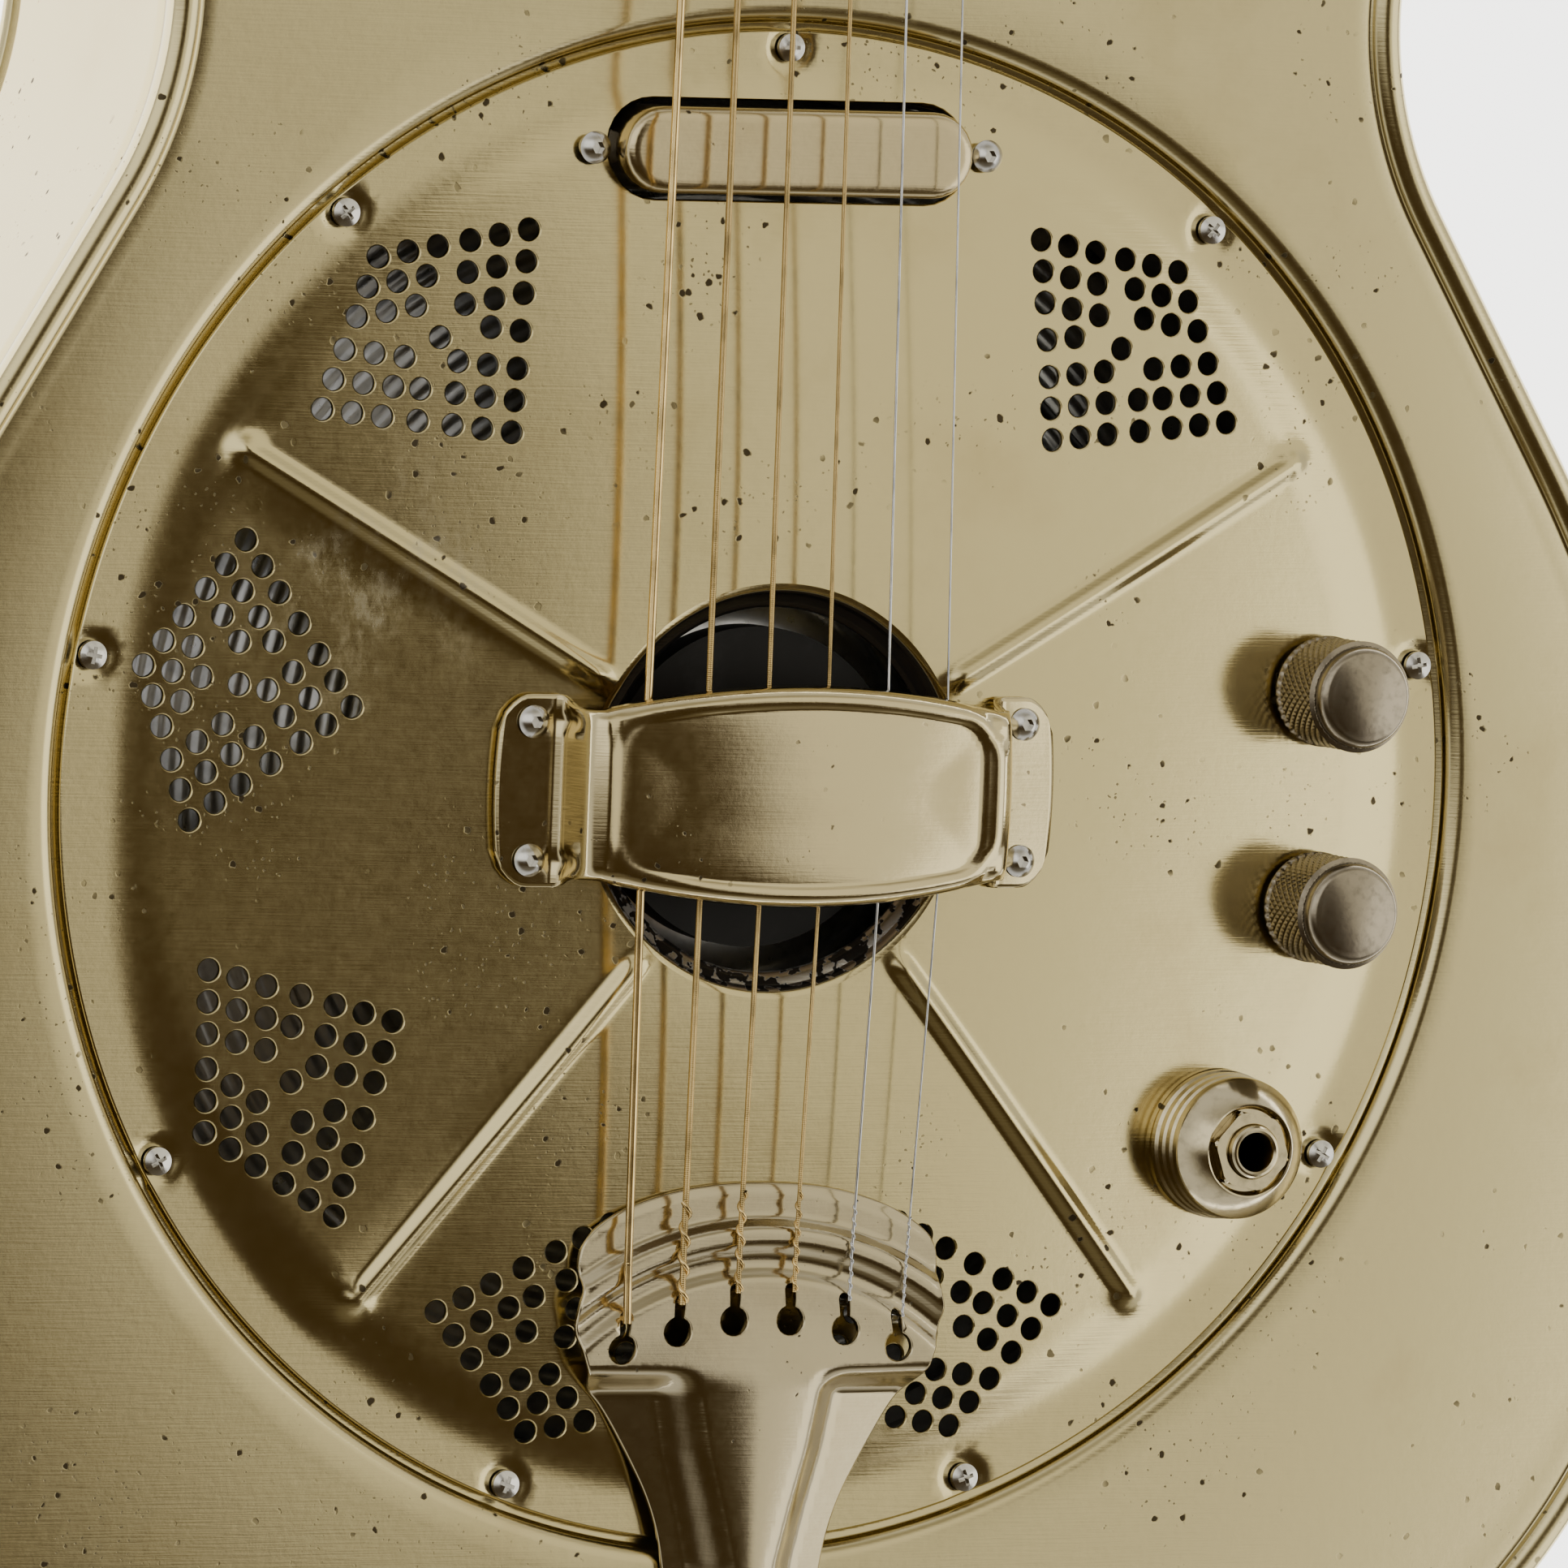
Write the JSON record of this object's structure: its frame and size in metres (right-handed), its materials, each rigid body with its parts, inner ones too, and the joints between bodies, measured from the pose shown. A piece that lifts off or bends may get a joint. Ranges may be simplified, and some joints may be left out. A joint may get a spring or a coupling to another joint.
{
  "type": "resonator guitar",
  "caption": "Metal-bodied resonator guitar with a single cone under a domed, pierced cover plate, stamped tailpiece, slim pickup, two control knobs and a jack.",
  "frame": {"origin": "on the back's flat outer face, straight below the centre of the round cover plate", "axes": "+Z out of the top, +Y along the neck to the headstock, +X to the treble side"},
  "size_m": [0.373, 1.0006, 0.096],
  "materials": {
    "body_metal": "worn satin nickel over the pressed sheet, khaki patina",
    "cover_metal": "worn satin nickel, khaki patina, dark pits",
    "cone_metal": "spun bright aluminium",
    "well_metal": "dull sheet steel",
    "bare_wood": "bare maple",
    "black_lacquer": "gloss black lacquer",
    "saddle_maple": "maple",
    "bright_nickel": "bright nickel plate",
    "key_buttons": "cream button on a nickel shaft",
    "warm_nickel": "satin nickel with a warm tint",
    "knob_nickel": "knurled nickel plate",
    "jack_nickel": "turned nickel plate",
    "pot_steel": "plain steel",
    "contact_brass": "bare brass",
    "coil_wire": "enamelled copper winding",
    "magnet": "sintered magnet",
    "wire_black": "insulated lead",
    "neck_wood": "satin lacquered mahogany",
    "board_wood": "oiled rosewood",
    "fret_metal": "polished nickel silver",
    "marker_pearl": "pearl dot",
    "nut_bone": "polished bone",
    "black_plastic": "black plastic",
    "bronze_string": "bronze wound wire",
    "plain_string": "plain plated steel wire"
  },
  "bodies": {
    "root": {"body_back": "body_metal", "body_sides": "body_metal", "body_top": "body_metal", "neck_stick": "bare_wood", "sound_well": "well_metal", "cone": "cone_metal", "biscuit": "black_lacquer", "biscuit_screw": "bright_nickel", "saddle": "saddle_maple", "cover_plate": "cover_metal", "cover_plate_screws": "bright_nickel", "hand_rest": "cover_metal", "hand_rest_screws": "bright_nickel", "tailpiece": "warm_nickel", "end_pin": "bright_nickel", "pickup_cover": "warm_nickel", "pickup_coil": "coil_wire", "pickup_magnet": "magnet", "pickup_base_plate": "bright_nickel", "pickup_screws": "bright_nickel", "pickup_springs": "bright_nickel", "pot_cases": "pot_steel", "pot_nuts": "bright_nickel", "jack_cup": "jack_nickel", "jack_nut": "jack_nickel", "jack_barrel": "jack_nickel", "jack_contacts": "contact_brass", "wiring": "wire_black", "neck": "neck_wood", "fretboard": "board_wood", "frets": "fret_metal", "fret_markers": "marker_pearl", "nut": "nut_bone", "truss_rod": "pot_steel", "truss_rod_cover": "black_plastic", "tuner_housings": "bright_nickel", "tuner_bushings": "bright_nickel", "headstock_screws": "bright_nickel", "string_1": "bronze_string", "string_2": "bronze_string", "string_3": "bronze_string", "string_4": "bronze_string", "string_5": "plain_string", "string_6": "plain_string"},
    "volume_control": {"volume_knob": "knob_nickel", "volume_pot_shaft": "pot_steel"},
    "tone_control": {"tone_knob": "knob_nickel", "tone_pot_shaft": "pot_steel"},
    "key_1": {"tuner_key_1": "key_buttons"},
    "post_1": {"tuner_post_1": "bright_nickel"},
    "key_2": {"tuner_key_2": "key_buttons"},
    "post_2": {"tuner_post_2": "bright_nickel"},
    "key_3": {"tuner_key_3": "key_buttons"},
    "post_3": {"tuner_post_3": "bright_nickel"},
    "key_4": {"tuner_key_4": "key_buttons"},
    "post_4": {"tuner_post_4": "bright_nickel"},
    "key_5": {"tuner_key_5": "key_buttons"},
    "post_5": {"tuner_post_5": "bright_nickel"},
    "key_6": {"tuner_key_6": "key_buttons"},
    "post_6": {"tuner_post_6": "bright_nickel"}
  },
  "joints": [
    {"name": "volume_turn", "type": "hinge", "parent": "root", "child": "volume_control", "pos_m": [0.107, 0.018, 0.084], "axis": [0, 0, 1], "range_deg": [-150, 150]},
    {"name": "tone_turn", "type": "hinge", "parent": "root", "child": "tone_control", "pos_m": [0.1064, -0.0202, 0.084], "axis": [0, 0, 1], "range_deg": [-150, 150]},
    {"name": "post_1_turn", "type": "hinge", "parent": "root", "child": "post_1", "pos_m": [-0.023, 0.67705, 0.065], "axis": [0, 0.2156, 0.9765], "continuous": true},
    {"name": "key_1_turn", "type": "hinge", "parent": "root", "child": "key_1", "pos_m": [-0.023, 0.68062, 0.04455], "axis": [1, 0, 0], "continuous": true},
    {"name": "post_2_turn", "type": "hinge", "parent": "root", "child": "post_2", "pos_m": [-0.021, 0.71415, 0.05681], "axis": [0, 0.2156, 0.9765], "continuous": true},
    {"name": "key_2_turn", "type": "hinge", "parent": "root", "child": "key_2", "pos_m": [-0.021, 0.71773, 0.03636], "axis": [1, 0, 0], "continuous": true},
    {"name": "post_3_turn", "type": "hinge", "parent": "root", "child": "post_3", "pos_m": [-0.019, 0.75126, 0.04862], "axis": [0, 0.2156, 0.9765], "continuous": true},
    {"name": "key_3_turn", "type": "hinge", "parent": "root", "child": "key_3", "pos_m": [-0.019, 0.75484, 0.02817], "axis": [1, 0, 0], "continuous": true},
    {"name": "post_4_turn", "type": "hinge", "parent": "root", "child": "post_4", "pos_m": [0.019, 0.75126, 0.04862], "axis": [0, 0.2156, 0.9765], "continuous": true},
    {"name": "key_4_turn", "type": "hinge", "parent": "root", "child": "key_4", "pos_m": [0.019, 0.75484, 0.02817], "axis": [1, 0, 0], "continuous": true},
    {"name": "post_5_turn", "type": "hinge", "parent": "root", "child": "post_5", "pos_m": [0.021, 0.71415, 0.05681], "axis": [0, 0.2156, 0.9765], "continuous": true},
    {"name": "key_5_turn", "type": "hinge", "parent": "root", "child": "key_5", "pos_m": [0.021, 0.71773, 0.03636], "axis": [1, 0, 0], "continuous": true},
    {"name": "post_6_turn", "type": "hinge", "parent": "root", "child": "post_6", "pos_m": [0.023, 0.67705, 0.065], "axis": [0, 0.2156, 0.9765], "continuous": true},
    {"name": "key_6_turn", "type": "hinge", "parent": "root", "child": "key_6", "pos_m": [0.023, 0.68062, 0.04455], "axis": [1, 0, 0], "continuous": true}
  ],
  "couplings": [
    {"joint": "post_1_turn", "follows": "key_1_turn", "ratio": -0.066667},
    {"joint": "post_2_turn", "follows": "key_2_turn", "ratio": -0.066667},
    {"joint": "post_3_turn", "follows": "key_3_turn", "ratio": -0.066667},
    {"joint": "post_4_turn", "follows": "key_4_turn", "ratio": 0.066667},
    {"joint": "post_5_turn", "follows": "key_5_turn", "ratio": 0.066667},
    {"joint": "post_6_turn", "follows": "key_6_turn", "ratio": 0.066667}
  ]
}
